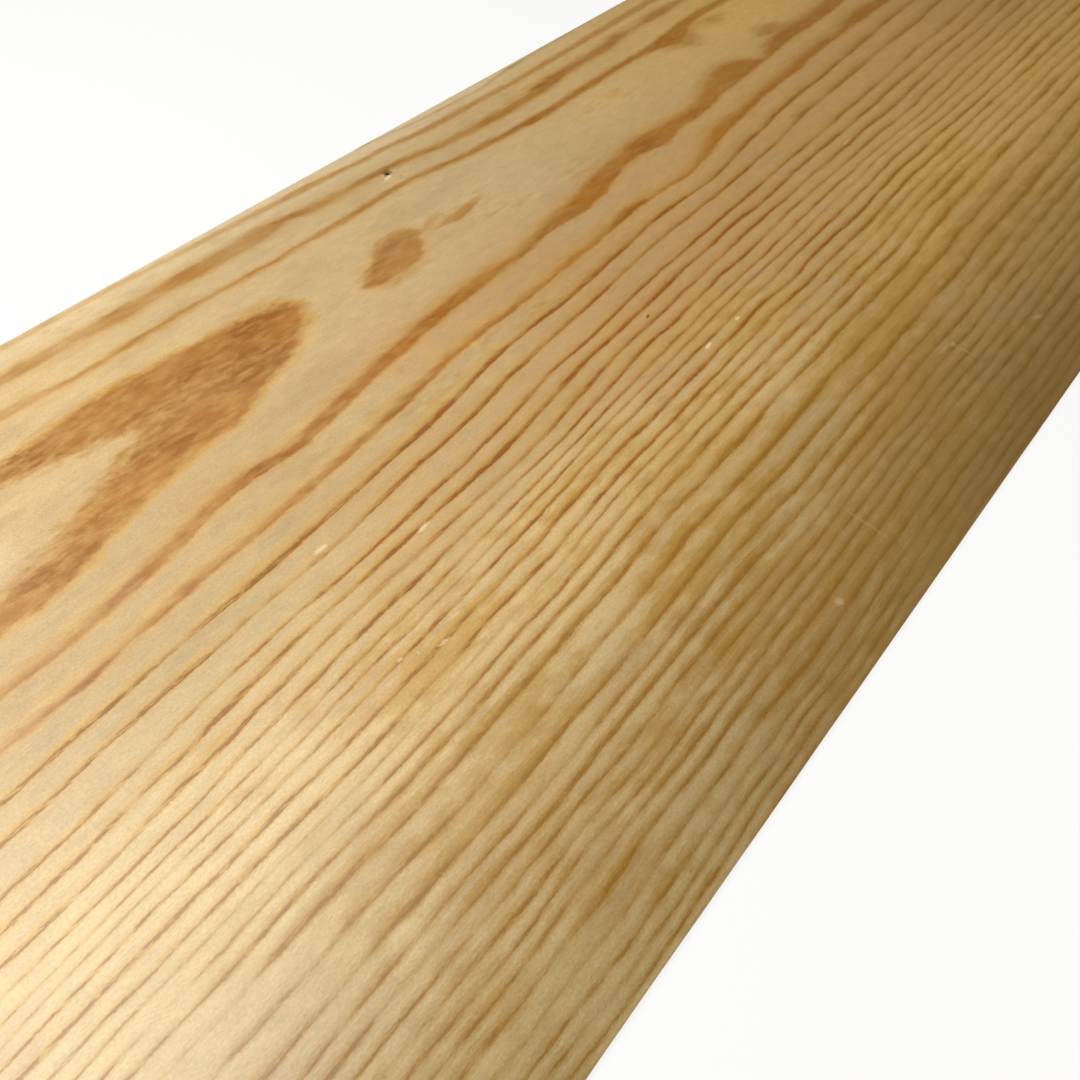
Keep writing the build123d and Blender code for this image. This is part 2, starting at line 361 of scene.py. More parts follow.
# Islands and spots of latewood, where the knife only just touched a ring, given in the same way.
# Stored as the depth inside the nearest one in softnesses, and how dark it is.
latewood_islands = {
    "island": (2.6, 2.6, [
        (-300, 58, 50, 0.7), (-68, 58, 50, 0.7), (-66, 53, 55, 0.7), (-64, 51.5, 57, 0.75),
        (-62, 50, 58, 0.75), (-58, 48.3, 58.3, 0.8), (-54, 45.5, 57.6, 0.75), (-51, 43, 57.5, 0.7),
        (-47, 41.8, 56.5, 0.7), (-45, 41.9, 54.8, 0.7), (-42, 42.3, 51.5, 0.65),
        (-40, 43, 49.5, 0.6), (-38, 44.5, 48, 0.55), (-36, 50, 44, 0.5), (300, 50, 44, 0.5),
    ]),
    "island tail": (0.8, 0.8, [
        (-300, 52, 47, 0.4), (-44, 51, 47.5, 0.4), (-39, 48, 50, 0.4), (-33, 48.2, 50.8, 0.42),
        (-28, 48.6, 52.4, 0.5), (-25, 48.4, 52, 0.52), (-20, 48, 50.6, 0.45), (-16, 48.2, 49.4, 0.25),
        (-13, 51, 47, 0.2), (300, 51, 47, 0.2),
    ]),
    "island fork": (0.8, 0.8, [
        (-300, 49, 44, 0.25), (-40, 49, 44, 0.25), (-37, 46.6, 48, 0.25), (-31, 45.4, 47.6, 0.32),
        (-28, 45.6, 47.2, 0.25), (-25, 49, 44, 0.25), (300, 49, 44, 0.25),
    ]),
    "slanted ring": (3.0, 4.0, [
        (-300, 40, 30, 0.3), (84, 40, 30, 0.3), (92, 32, 37, 0.35), (100, 31, 42, 0.5),
        (105, 31, 41, 0.45), (110, 32, 36.5, 0.3), (115, 33, 36.5, 0.3), (119, 33, 38.5, 0.42),
        (123, 33.5, 38, 0.35), (128, 36, 35, 0.3), (136, 40, 30, 0.3), (300, 40, 30, 0.3),
    ]),
    "spot by the first line": (3.4, 3.6, [
        (-300, 60, 53, 0.5), (112, 60, 53, 0.5), (117, 55, 57.5, 0.5), (122, 53, 62, 0.55),
        (126, 53.8, 62, 0.5), (130, 57, 60, 0.4), (135, 61, 56, 0.4), (300, 60, 53, 0.4),
    ]),
}
nearest = geo("CombineXYZ", {"X": far_outside, "Y": 0.5})
for top_soft, bottom_soft, outline in latewood_islands.values():
    columns, depth = trace(outline, top_soft, bottom_soft)
    is_nearer = geo("Math", {0: depth, 1: geo("SeparateXYZ", {0: nearest})}, operation="GREATER_THAN")
    island = geo("CombineXYZ", {"X": depth, "Y": columns[2]})
    nearest = geo("Mix", {0: is_nearer, 4: nearest, 5: island}, 1, data_type="VECTOR")
wood_maps["island_depth"] = (nearest, "FLOAT_VECTOR", "POINT")

# Small marks of the show face: place along the leaf and across it, half length and half width, mm,
# turn in degrees, and shade from -1, dark, to 1, pale. Stored as the way from the middle of the
# nearest mark in its own half sizes, and its shade.
face_marks = [
    # The first mark, dark round the pinhole, is partly the dead twig's dark bark and partly painted
    # shade of the hole
    (-20.4, 18.5, 1.5, 0.9, 136, -1), (-21.3, 19.8, 1.3, 0.6, -10, 1), (-21, 15.6, 10, 1.6, 2, -0.25),
    (-38.5, 117, 0.9, 0.4, -20, -0.7), (-133, 109.4, 1.7, 0.6, 3, 0.6), (-118, 121, 1.7, 0.5, -8, 0.6),
    (-136, 141.8, 1.3, 0.4, 3, 0.5), (-143, 138.6, 0.8, 0.3, 0, 0.5), (-40.5, 134, 1.5, 0.45, -10, 0.7),
    (-28, 133.8, 0.9, 0.45, 0, 0.65), (62, 115, 2.4, 0.5, -6, 0.25), (-82.5, 188.8, 1.0, 0.8, 0, 0.3),
    (-5.5, 174, 3.2, 0.35, 4, 0.16), (-3, 177.5, 1.5, 0.3, 80, 0.16), (21.5, 185.5, 2.0, 0.7, 20, 0.18),
    (-63, 184, 5.5, 0.25, 88, 0.12), (7, 152, 3, 0.5, 0, 0.2), (-176, 170, 3, 2.5, 0, 0.12),
    # The last mark, broad and pale beside the flame's near end, is a painted sheen
    (-176, 63, 12, 6, -25, 0.35),
]
far_off = 99.0
mark_margin_mm = 3.0
nearest_mark, mark_reach = (far_off, far_off, 0.0), 50.0
for x_mm, t_mm, half_long, half_wide, turn_degrees, tone in face_marks:
    mark = geo("VectorMath", {0: wood_mm, 1: (x_mm, t_mm, 0.0)}, operation="SUBTRACT")
    is_far = geo("VectorMath", {0: mark}, "Value", operation="LENGTH")
    is_far = geo("Math", {0: is_far, 1: 1.3 * half_long + mark_margin_mm}, operation="GREATER_THAN")
    mark = geo("VectorRotate", {"Vector": mark, "Angle": radians(-turn_degrees)}, rotation_type="Z_AXIS")
    mark = geo("VectorMath", {0: mark, 1: (1 / half_long, 1 / half_wide, 0.0)}, operation="MULTIPLY")
    reach_here = geo("VectorMath", {0: mark}, "Value", operation="LENGTH")
    reach_here = geo("Math", {0: is_far, 1: far_off, 2: reach_here}, operation="MULTIPLY_ADD")
    mark = geo("VectorMath", {0: mark, 1: (0.0, 0.0, tone)}, operation="ADD")
    is_nearer = geo("Math", {0: reach_here, 1: mark_reach}, operation="LESS_THAN")
    nearest_mark = geo("Mix", {0: is_nearer, 4: nearest_mark, 5: mark}, 1, data_type="VECTOR")
    mark_reach = geo("Math", {0: reach_here, 1: mark_reach}, operation="MINIMUM")
wood_maps["mark_at"] = (nearest_mark, "FLOAT_VECTOR", "POINT")

# Map for the bake: the show face on the upper two thirds, the back below it, and the four edges and
# the pinhole's wall in narrow strips along the bottom. Each strip has what it runs with, how long it
# is and where it starts, in shares of the map.
bore_reach = 3 * MM
near_end = geo("Math", {0: half_length, 1: -1.0}, operation="MULTIPLY")
share_along = geo("MapRange", {"Value": flat["X"]}, ramp=(near_end, half_length, 0.003, 0.997))
share_across = geo("Math", {0: across, 1: size["Width"]}, operation="DIVIDE")
share_up = geo("Math", {0: flat["Z"], 1: size["Thickness"]}, operation="DIVIDE")
facing = geo("GeometryNodeFieldOnDomain", {0: geo("GeometryNodeInputNormal")},
             data_type="FLOAT_VECTOR", domain="FACE")
facing = geo("SeparateXYZ", {0: facing}).node.outputs
near_hole = geo("VectorMath", {0: from_hole}, "Value", operation="LENGTH")
is_bore = geo("Math", {0: near_hole, 1: bore_reach}, operation="LESS_THAN")
is_show = geo("Math", {0: facing["Z"], 1: 0.5}, operation="GREATER_THAN")
is_back = geo("Math", {0: facing["Z"], 1: -0.5}, operation="LESS_THAN")
is_long = geo("Math", {0: facing["Y"]}, operation="ABSOLUTE")
is_long = geo("Math", {0: is_long, 1: 0.5}, operation="GREATER_THAN")
is_far_side = geo("Math", {0: share_across, 1: 0.5}, operation="GREATER_THAN")
is_far_end = geo("Math", {0: share_along, 1: 0.5}, operation="GREATER_THAN")
bore_turn = geo("SeparateXYZ", {0: from_hole}).node.outputs
bore_turn = geo("Math", {0: bore_turn["Y"], 1: bore_turn["X"]}, operation="ARCTAN2")
end_across, end_up, long_up, bore_round, show_across, back_across = [
    geo("Math", {0: run, 1: length, 2: start}, operation="MULTIPLY_ADD")
    for run, length, start in (
        (share_across, 0.45, 0.003), (share_up, 0.007, 0.030), (share_up, 0.009, 0.003),
        (bore_turn, 0.006, 0.4985), (share_across, -0.637, 0.997), (share_across, 0.307, 0.044),
    )
]
end_across = geo("Math", {0: is_far_end, 1: 0.54, 2: end_across}, operation="MULTIPLY_ADD")
long_up = geo("Math", {0: is_far_side, 1: 0.013, 2: long_up}, operation="MULTIPLY_ADD")
bake_map = geo("CombineXYZ", {"X": end_across, "Y": end_up})
for chosen, u, v in (
    (is_long, share_along, long_up),
    (is_bore, bore_round, end_up),
    (is_back, share_along, back_across),
    (is_show, share_along, show_across),
):
    strip = geo("CombineXYZ", {"X": u, "Y": v})
    bake_map = geo("Mix", {0: chosen, 4: bake_map, 5: strip}, 1, data_type="VECTOR")
wood_maps["OFBake"] = (bake_map, "FLOAT2", "CORNER")

# All of these stay on the leaf's points and corners when it is bent
for name, (value, data_type, domain) in wood_maps.items():
    block = geo("GeometryNodeStoreNamedAttribute", {"Geometry": block, "Name": name, "Value": value},
                data_type=data_type, domain=domain)

# Clipped edges: the guillotine leaves the long edges a little ragged, and the ends more so. The high
# powers keep it to the outermost points.
rag = geo("TexNoise", {"Vector": here, "Scale": 60.0, "Detail": 3.0}, "Color")
rag = geo("VectorMath", {0: rag, 1: middle_grey}, operation="SUBTRACT")
rag = geo("SeparateXYZ", {0: rag}).node.outputs
ends_to_sides = 3.0
side_share = geo("Math", {0: flat["Y"], 1: half_width}, operation="DIVIDE")
side_share = geo("Math", {0: side_share, 1: 40.0}, operation="POWER")
end_share = geo("Math", {0: flat["X"], 1: half_length}, operation="DIVIDE")
end_share = geo("Math", {0: end_share, 1: 120.0}, operation="POWER")
side_rag = geo("Math", {0: rag["X"], 1: side_share}, operation="MULTIPLY")
end_rag = geo("Math", {0: rag["Y"], 1: end_share}, operation="MULTIPLY")
end_rag = geo("Math", {0: end_rag, 1: ends_to_sides}, operation="MULTIPLY")
across = geo("Math", {0: side_rag, 1: size["Ragged Edge"], 2: across}, operation="MULTIPLY_ADD")
x = geo("Math", {0: end_rag, 1: size["Ragged Edge"], 2: flat["X"]}, operation="MULTIPLY_ADD")

# Section: along the flat strip, then round the curl, and up through the thickness. What is past the
# flat strip turns down by its length over the curl's radius.
flat_width = geo("Math", {0: size["Width"], 1: size["Curl Width"]}, operation="SUBTRACT")
on_flat = geo("Math", {0: across, 1: flat_width}, operation="MINIMUM")
past = geo("Math", {0: across, 1: on_flat}, operation="SUBTRACT")
turned = geo("Math", {0: past, 1: size["Curl Radius"]}, operation="DIVIDE")
slope = geo("Math", {0: size["Flat Tilt"], 1: turned}, operation="SUBTRACT")
tilt_sin, tilt_cos, slope_sin, slope_cos = [
    geo("Math", {0: angle}, operation=ratio)
    for angle in (size["Flat Tilt"], slope) for ratio in ("SINE", "COSINE")
]
curl_in = geo("Math", {0: tilt_sin, 1: slope_sin}, operation="SUBTRACT")
curl_down = geo("Math", {0: slope_cos, 1: tilt_cos}, operation="SUBTRACT")
y = geo("Math", {0: tilt_cos, 1: on_flat}, operation="MULTIPLY")
y = geo("Math", {0: curl_in, 1: size["Curl Radius"], 2: y}, operation="MULTIPLY_ADD")
y = geo("Math", {0: size["Flat Edge Y"], 1: y}, operation="SUBTRACT")
y = geo("Math", {0: slope_sin, 1: flat["Z"], 2: y}, operation="MULTIPLY_ADD")
z = geo("Math", {0: tilt_sin, 1: on_flat}, operation="MULTIPLY")
z = geo("Math", {0: curl_down, 1: size["Curl Radius"], 2: z}, operation="MULTIPLY_ADD")
z = geo("Math", {0: slope_cos, 1: flat["Z"], 2: z}, operation="MULTIPLY_ADD")

# Cockle: the leaf dried unevenly, so it lifts a little off a true section, and never below it.
# There are 7 waves in a metre along the grain, and 13 across it.
cockle_at = geo("VectorMath", {0: wood_at, 1: (7.0, 13.0, 0.0)}, operation="MULTIPLY")
cockle = geo("TexNoise", {"Vector": cockle_at, "Scale": 1.0, "Detail": 1.0})
cockle = geo("MapRange", {"Value": cockle}, ramp=(0.3, 0.8))
z = geo("Math", {0: cockle, 1: size["Cockle"], 2: z}, operation="MULTIPLY_ADD")

# Torn lip of the pinhole: the knife lifted the fibres on one side of it
lifted_side = (-0.7, -0.7, 0.0)
lip_side = geo("VectorMath", {0: from_hole, 1: lifted_side}, "Value", operation="DOT_PRODUCT")
lip_side = geo("MapRange", {"Value": lip_side}, ramp=(0.0, 1.2 * MM), interpolation_type="SMOOTHSTEP")
lip = geo("MapRange", {"Value": near_hole}, ramp=(2.8 * MM, 0.9 * MM, 0.0, size["Lip Height"]),
          interpolation_type="SMOOTHSTEP")
z = geo("Math", {0: lip, 1: lip_side, 2: z}, operation="MULTIPLY_ADD")

bent = geo("CombineXYZ", {"X": x, "Y": y, "Z": z})
block = geo("GeometryNodeSetPosition", {"Geometry": block, "Position": bent})

# Cut edges stay crisp between the smooth faces
turn = geo("GeometryNodeInputMeshEdgeAngle")
crisp = geo("FunctionNodeCompare", {"A": turn, "B": radians(30)}, data_type="FLOAT",
            operation="GREATER_THAN")
block = geo("GeometryNodeSetShadeSmooth", {"Geometry": block, "Shade Smooth": True}, domain="FACE")
block = geo("GeometryNodeSetShadeSmooth", {"Geometry": block, "Selection": crisp, "Shade Smooth": False},
            domain="EDGE")
block = geo("GeometryNodeRealizeInstances", {"Geometry": block})
block = geo("GeometryNodeSetMaterial", {"Geometry": block, "Material": size["Wood"]})
geo("NodeGroupOutput", {"Leaf": block}, out=slice(0))


def srgb(hex_colour):
    """Turns an sRGB hex colour to linear."""
    parts = [int(hex_colour[i:i + 2], 16) / 255 for i in (1, 3, 5)]
    return [p / 12.92 if p <= 0.04045 else ((p + 0.055) / 1.055) ** 2.4 for p in parts] + [1.0]


# Pine, sliced tangentially by a knife and left unfinished. Each year's ring shows as pale, soft
# earlywood with a hard brown line of latewood: broad flames over the heart, and fine stripes
# towards the edge. The cut fibres lie along the leaf and give it a silky sheen across them.
wood = bpy.data.materials.new("knife_cut_pine")
wood.use_nodes = True
wood.node_tree.nodes.clear()
pine = partial(add, wood.node_tree)
place = pine("Attribute", out="Vector", attribute_name="wood_mm")
spot = pine("SeparateXYZ", {0: place}).node.outputs
along, across, height = spot["X"], spot["Y"], spot["Z"]

# Fibres: short pale and dark streaks along the grain, 3.2 mm long and 0.55 mm wide, which the knife
# left a little raised. They are coarser than real ones, so that they show.
fibre_at = pine("VectorMath", {0: place, 1: (1 / 3.2, 1 / 0.55, 0.0)}, operation="MULTIPLY")
fibre = pine("TexNoise", {"Vector": fibre_at, "Scale": 1.0, "Detail": 2.0}, noise_dimensions="2D")

# Fine noises of the wood, centred on zero: the length of each pattern along and across the grain in
# mm, and its detail. The slow ones come with the mesh.
wood_noises = {"grain": (0.65, 0.36, 2.0), "mottle": (7.0, 2.4, 3.0), "curls": (3.8, 1.9, 2.0)}
noises = []
for long_mm, wide_mm, detail in wood_noises.values():
    noise_at = pine("VectorMath", {0: place, 1: (1 / long_mm, 1 / wide_mm, 0.0)}, operation="MULTIPLY")
    noise = pine("TexNoise", {
        "Vector": noise_at, "Scale": 1.0, "Detail": detail, "Roughness": 0.6,
    }, "Color", noise_dimensions="2D")
    noises.append(pine("VectorMath", {0: noise, 1: middle_grey}, operation="SUBTRACT"))
noises += [pine("Attribute", out="Vector", attribute_name=name) for name in slow_noises]
grain, mottle, curls, waver, cloud = [
    pine("SeparateXYZ", {0: noise}).node.outputs for noise in noises
]

# Latewood lines across the leaf at mid-length: distance from the flat edge in mm, how dark, and
# how broad in mm
latewood_lines = [
    (-8, 0.5, 1.6), (1.5, 0.3, 1.4), (8.5, 0, 2.4), (19.3, 0, 3.4), (30, 0, 2.8),
    (74, 0, 3.8), (86.5, 0, 2.8), (95, 0.92, 2.0), (101, 0.8, 1.7), (108.5, 0.78, 1.5),
    (113, 0.94, 1.6), (117.5, 0.8, 1.5), (121.5, 0.72, 1.3), (125.5, 0.68, 1.2), (128.5, 0.5, 1.0),
    (132, 0.7, 1.1), (136, 0.94, 1.4), (140, 0.84, 1.3), (143, 0.42, 1.0), (146.5, 0.6, 1.1),
    (150, 0.74, 1.4), (154.2, 0.74, 1.5), (159.5, 0.92, 1.5), (164.8, 0.78, 1.6), (169, 0.62, 1.3),
    (172.4, 0.7, 1.5), (175.6, 0.62, 1.1), (178.5, 0.6, 1.1), (181, 0.5, 1.0), (183.5, 0.54, 1.0),
    (186.4, 0.72, 1.1), (190, 0.72, 1.2), (193, 0.64, 1.1), (195.4, 0.5, 0.9), (197.6, 0.52, 0.9),
    (199.8, 0.5, 0.9), (202.5, 0.6, 1.1),
]


def swayed(value, *sways):
    """Adds noises of the wood to a value, each times the number that it comes with."""
    for noise, share in sways:
        value = pine("Math", {0: noise, 1: share, 2: value}, operation="MULTIPLY_ADD")
    return value


# The count of the lines is whole on each of them, and grows evenly from one to the next. Their gap
# is kept beside it, in mm.
ring_at = pine("Attribute", out="Fac", attribute_name="ring_mm")
ring_at = swayed(ring_at, (waver["X"], 1.5), (mottle["X"], 0.6), (grain["Y"], 0.45))
line_places = [line[0] for line in latewood_lines]
ring_gaps = []
for low, high in zip(line_places, line_places[1:]):
    ring_gaps += [(low + 0.4, high - low), (high - 0.4, high - low)]
ring_count = pine("FloatCurve", {"Value": ring_at},
                  points=[(place_mm, i) for i, place_mm in enumerate(line_places)])
ring_gap = pine("FloatCurve", {"Value": ring_at}, points=ring_gaps)
for curve in (ring_count, ring_gap):
    for point in curve.node.mapping.curves[0].points:
        point.handle_type = "VECTOR"
    curve.node.mapping.update()
line_number = pine("Math", {0: ring_count}, operation="ROUND")
line_dark, line_broad = [
    pine("FloatCurve", {"Value": line_number},
         points=[(i, line[column]) for i, line in enumerate(latewood_lines)])
    for column in (1, 2)
]

# Each line is a crisp brown core, which fades to gold over some millimetres on the side of the heart
# and stops short on the other. Along the leaf it comes and goes, in runs of some 22 mm.
outer_edge_mm = 0.42
off_line = pine("Math", {0: ring_count, 1: line_number}, operation="SUBTRACT")
off_line = pine("Math", {0: off_line, 1: ring_gap}, operation="MULTIPLY")
outward = pine("Math", {0: ring_at, 1: heart_place}, operation="SUBTRACT")
outward = pine("Math", {0: outward}, operation="SIGN")
off_line = pine("Math", {0: off_line, 1: outward}, operation="MULTIPLY")
slim = pine("MapRange", {"Value": along}, ramp=(-210.0, -130.0, 0.6, 1.0))
line_broad = pine("Math", {0: line_broad, 1: slim}, operation="MULTIPLY")
inside = pine("Math", {0: off_line, 1: line_broad}, operation="DIVIDE")
inside = pine("Math", {0: inside, 1: -1.0}, operation="MULTIPLY")
outside = pine("Math", {0: off_line, 1: 1 / outer_edge_mm}, operation="MULTIPLY")
off_line = pine("Math", {0: outside, 1: inside}, operation="MAXIMUM")
line_core = pine("MapRange", {"Value": off_line}, ramp=(0.0, 0.95, 1.0, 0.0),
                 interpolation_type="SMOOTHSTEP")
line_at = pine("CombineXYZ", {"X": along, "Y": line_number})
line_at = pine("VectorMath", {0: line_at, 1: (1 / 22, 3.7, 0.0)}, operation="MULTIPLY")
line_breaks = pine("TexNoise", {"Vector": line_at, "Scale": 1.0, "Detail": 2.0}, noise_dimensions="2D")
faintest = pine("MapRange", {"Value": along}, ramp=(-200.0, -80.0, 0.2, 0.6))
line_breaks = pine("MapRange", {"Value": line_breaks}, ramp=(0.34, 0.6, faintest, 1.2))
line_dark = pine("Math", {0: line_dark, 1: line_breaks}, operation="MULTIPLY")
strength = pine("MapRange", {"Value": along}, ramp=(-200.0, 140.0, 1.75, 0.85))
line_dark = pine("Math", {0: line_dark, 1: strength}, operation="MULTIPLY")
line_core = pine("Math", {0: line_core, 1: line_dark}, operation="MULTIPLY")
faintest = pine("MapRange", {"Value": along}, ramp=(-210.0, -90.0, 0.1, 0.6))
dashes = pine("MapRange", {"Value": fibre}, ramp=(0.36, 0.56, faintest, 1.1))
line_core = pine("Math", {0: line_core, 1: dashes}, operation="MULTIPLY")

# The flame, the bands and the islands have golden rims of a millimetre or two, and run in and out
# along the fibres
flame_at, edges, softness, island_at = [
    pine("SeparateXYZ", {0: pine("Attribute", out="Vector", attribute_name=name)}).node.outputs
    for name in ("flame_mm", "band_edges", "band_softness", "island_depth")
]
tip = pine("MapRange", {"Value": along}, ramp=(-100.0, -80.0, 1.0, 0.4))
flame = pine("Math", {0: flame_at["X"], 1: tip}, operation="MULTIPLY")
flame = swayed(flame, (mottle["X"], 3.0), (curls["Y"], 2.5), (grain["Z"], 1.2))
flame_core = pine("MapRange", {"Value": flame}, ramp=(-0.2, 2.4), interpolation_type="SMOOTHSTEP")
flame_gold = pine("MapRange", {"Value": flame}, ramp=(-1.6, 0.6), interpolation_type="SMOOTHSTEP")
pocket = swayed(flame_at["Y"], (curls["X"], 7.0), (waver["Y"], 4.0))
pocket = pine("MapRange", {"Value": pocket}, ramp=(-5.5, 1.0, 1.0, 0.0), interpolation_type="SMOOTHSTEP")
flame_core = pine("Math", {0: flame_core, 1: pocket}, operation="MULTIPLY")
flame_gold = pine("Math", {0: flame_gold, 1: pocket}, operation="MULTIPLY")
band_at = swayed(across, (mottle["Z"], 1.8), (curls["Y"], 0.8), (grain["Z"], 0.6))
below_top = pine("Math", {0: band_at, 1: edges["X"]}, operation="SUBTRACT")
top_soft = pine("MapRange", {"Value": along}, ramp=(-60.0, 60.0, 0.8, 1.1))
top_soft = pine("Math", {0: top_soft, 1: softness["X"]}, operation="MULTIPLY")
below_top = pine("Math", {0: below_top, 1: top_soft}, operation="DIVIDE")
above_bottom = pine("Math", {0: edges["Y"], 1: band_at}, operation="SUBTRACT")
above_bottom = pine("Math", {0: above_bottom, 1: softness["Y"]}, operation="DIVIDE")
band = pine("Math", {0: below_top, 1: above_bottom}, operation="MINIMUM")
island = swayed(island_at["X"], (mottle["Z"], 1.5), (grain["Z"], 0.6))
band_cores = []
band_golds = []
for depth, dark in ((band, edges["Z"]), (island, island_at["Y"])):
    depth_core = pine("MapRange", {"Value": depth}, ramp=(-0.4, 0.85), interpolation_type="SMOOTHSTEP")
    depth_gold = pine("MapRange", {"Value": depth}, ramp=(-1.5, 0.4), interpolation_type="SMOOTHSTEP")
    share = pine("MapRange", {"Value": dark}, ramp=(0.0, 0.6, 0.0, 0.75))
    band_cores.append(pine("Math", {0: depth_core, 1: dark}, operation="MULTIPLY"))
    band_golds.append(pine("Math", {0: depth_gold, 1: share}, operation="MULTIPLY"))
band_core = pine("Math", {0: band_cores[0], 1: band_cores[1]}, operation="MAXIMUM")
band_gold = pine("Math", {0: band_golds[0], 1: band_golds[1]}, operation="MAXIMUM")

# Pale wavy flecks inside the flame, thickest next to the pocket, where its latewood is thinnest
thickest = pine("MapRange", {"Value": flame_at["Y"]}, ramp=(-22.0, -2.0, 0.1, 0.6))
fleck = pine("MapRange", {"Value": curls["Z"]}, ramp=(-0.12, 0.26))
fleck = pine("Math", {0: fleck, 1: thickest}, operation="MULTIPLY")
fleck = pine("Math", {0: 1.0, 1: fleck}, operation="SUBTRACT")
flame_core = pine("Math", {0: flame_core, 1: fleck}, operation="MULTIPLY")
core = pine("Math", {0: flame_core, 1: band_core}, operation="MAXIMUM")
gold = pine("Math", {0: flame_gold, 1: band_gold}, operation="MAXIMUM")
faintest = pine("MapRange", {"Value": along}, ramp=(-120.0, 0.0, 0.62, 0.74))
thin = pine("MapRange", {"Value": mottle["Y"]}, ramp=(-0.2, 0.12, faintest, 1.1))
core = pine("Math", {0: core, 1: thin}, operation="MULTIPLY")
line_core = pine("Math", {0: line_core, 1: thin}, operation="MULTIPLY")

# Colours of the wood at the near end and further along, where most are deeper and more golden. The
# change comes in clouds of some tens of millimetres.
wood_colours = {
    "wide ring": ("#D6BA89", "#CBB082"),
    "narrow ring": ("#D4BB87", "#C6A264"),
    "dull belt": ("#B2966E", "#BB9064"),
    "rim": ("#D2A862", "#BF9243"),
    "light brown": ("#B28048", "#AE7014"),
    "deep brown": ("#9C6630", "#94560A"),
    "line rim": ("#CDA350", "#B4862F"),
    "golden line": ("#A2722C", "#9E6816"),
    "reddish line": ("#945C28", "#925412"),
}
far = pine("MapRange", {"Value": along}, ramp=(-190.0, 30.0, -0.25, 0.7))
far = pine("Math", {0: cloud["X"], 1: far}, operation="ADD")
far = pine("MapRange", {"Value": far}, ramp=(-0.1, 0.5))
colours = {
    name: pine("Mix", {0: far, 6: srgb(near), 7: srgb(further)}, 2, data_type="RGBA")
    for name, (near, further) in wood_colours.items()
}


def layered(colour, *layers):
    """Lays colours over a colour, each as thickly as the mask that it comes with."""
    for mask, laid in layers:
        colour = pine("Mix", {0: mask, 6: colour, 7: laid}, 2, data_type="RGBA")
    return colour


# Golden clouds of resin-rich wood, mostly on the side of the narrow rings
narrow = pine("MapRange", {"Value": ring_at}, ramp=(62.0, 88.0))
golden = pine("MapRange", {"Value": across}, ramp=(110.0, 160.0, -0.3, 0.1))
golden = swayed(golden, (cloud["Y"], 1.2), (waver["Z"], 0.7), (mottle["Z"], 0.8))
golden = pine("MapRange", {"Value": golden}, ramp=(-0.04, 0.24))
past_near_end = pine("MapRange", {"Value": along}, ramp=(-215.0, -140.0))
golden = pine("Math", {0: golden, 1: past_near_end}, operation="MULTIPLY")
golden_wood = pine("Math", {0: golden, 1: 0.65}, operation="MULTIPLY")

# Pale greyish mottles, wood that is more golden towards the far end and painted lighter there,
# where the lamp's light falls off, a painted sheen along the flat edge, a duller belt beside the
# broad flames, and painted shade darkening the strip along the curled edge
greyish = swayed(waver["Y"], (mottle["Y"], 0.35))
greyish = pine("MapRange", {"Value": greyish}, ramp=(0.0, 0.2, 0.0, 0.55))
# Towards the far end the wood is laid more golden and lighter: partly resin, and partly painted light
# where the lamp's light falls off
resin_and_far_light = pine("MapRange", {"Value": along}, ramp=(0.0, 140.0, 0.0, 0.85))
# Painted sheen: the strip of some 12 mm along the flat edge is laid paler, most towards the near end
strongest_edge_sheen = pine("MapRange", {"Value": along}, ramp=(30.0, 110.0, 0.45, 0.1))
edge_sheen = pine("MapRange", {"Value": across}, ramp=(12.0, 1.0, 0.0, strongest_edge_sheen))
belt = pine("FloatCurve", {"Value": across}, points=[
    (0, 0), (46, 0), (62, 0.18), (78, 0.38), (92, 0.42), (105, 0.45), (118, 0.35), (132, 0.1),
    (150, 0.02), (165, 0.1), (200, 0.1),
])
# Painted shade: the strip along the curled edge is laid darker, from 152 mm across to the edge, and more
# so further along
deepest_curl_shade = pine("MapRange", {"Value": along}, ramp=(-160.0, -50.0, 0.3, 0.62))
curl_shade = pine("MapRange", {"Value": across}, ramp=(152.0, 200.0, 0.0, deepest_curl_shade))

# Brown of the flame and the bands, deeper in patches and in streaks
deep = swayed(
    waver["Z"], (flame_at["Z"], 0.42), (mottle["X"], 0.2), (curls["X"], 0.12), (grain["X"], 0.2),
    (band_core, 0.12),
)
deep = pine("MapRange", {"Value": deep}, ramp=(-0.12, 0.32))
brown = layered(colours["light brown"], (deep, colours["deep brown"]), (resin_and_far_light, srgb("#BC802C")))
gold = pine("Math", {0: gold, 1: 0.85}, operation="MULTIPLY")

# Gold and brown of the fine lines: wider gold in the resin-rich wood, more olive where they are dense
# and far, and a redder brown where a line is strong
olive = pine("MapRange", {"Value": along}, ramp=(50.0, 120.0, 0.0, 28.0))
olive = pine("Math", {0: olive, 1: ring_at}, operation="ADD")
olive = pine("MapRange", {"Value": olive}, ramp=(132.0, 156.0))
line_rim = layered(colours["line rim"], (olive, srgb("#B68D3C")))
halo = pine("MapRange", {"Value": golden}, ramp=(0.0, 1.0, 2.0, 3.0))
line_gold = pine("MapRange", {"Value": off_line}, ramp=(0.3, halo, 1.0, 0.0))
rich = pine("MapRange", {"Value": golden}, ramp=(0.0, 1.0, 0.65, 1.1))
rich = pine("Math", {0: line_dark, 1: rich}, operation="MULTIPLY")
line_gold = pine("Math", {0: line_gold, 1: rich}, operation="MULTIPLY")
reddish = swayed(line_breaks, (mottle["X"], 1.2))
reddish = pine("MapRange", {"Value": reddish}, ramp=(0.5, 1.0))
at_near_end = pine("MapRange", {"Value": along}, ramp=(-220.0, -120.0, 0.9, 0.0))
line_brown = layered(
    colours["golden line"], (reddish, colours["reddish line"]), (olive, srgb("#9C6E1C")),
    (resin_and_far_light, srgb("#AE7C26")), (at_near_end, srgb("#96680A")),
)
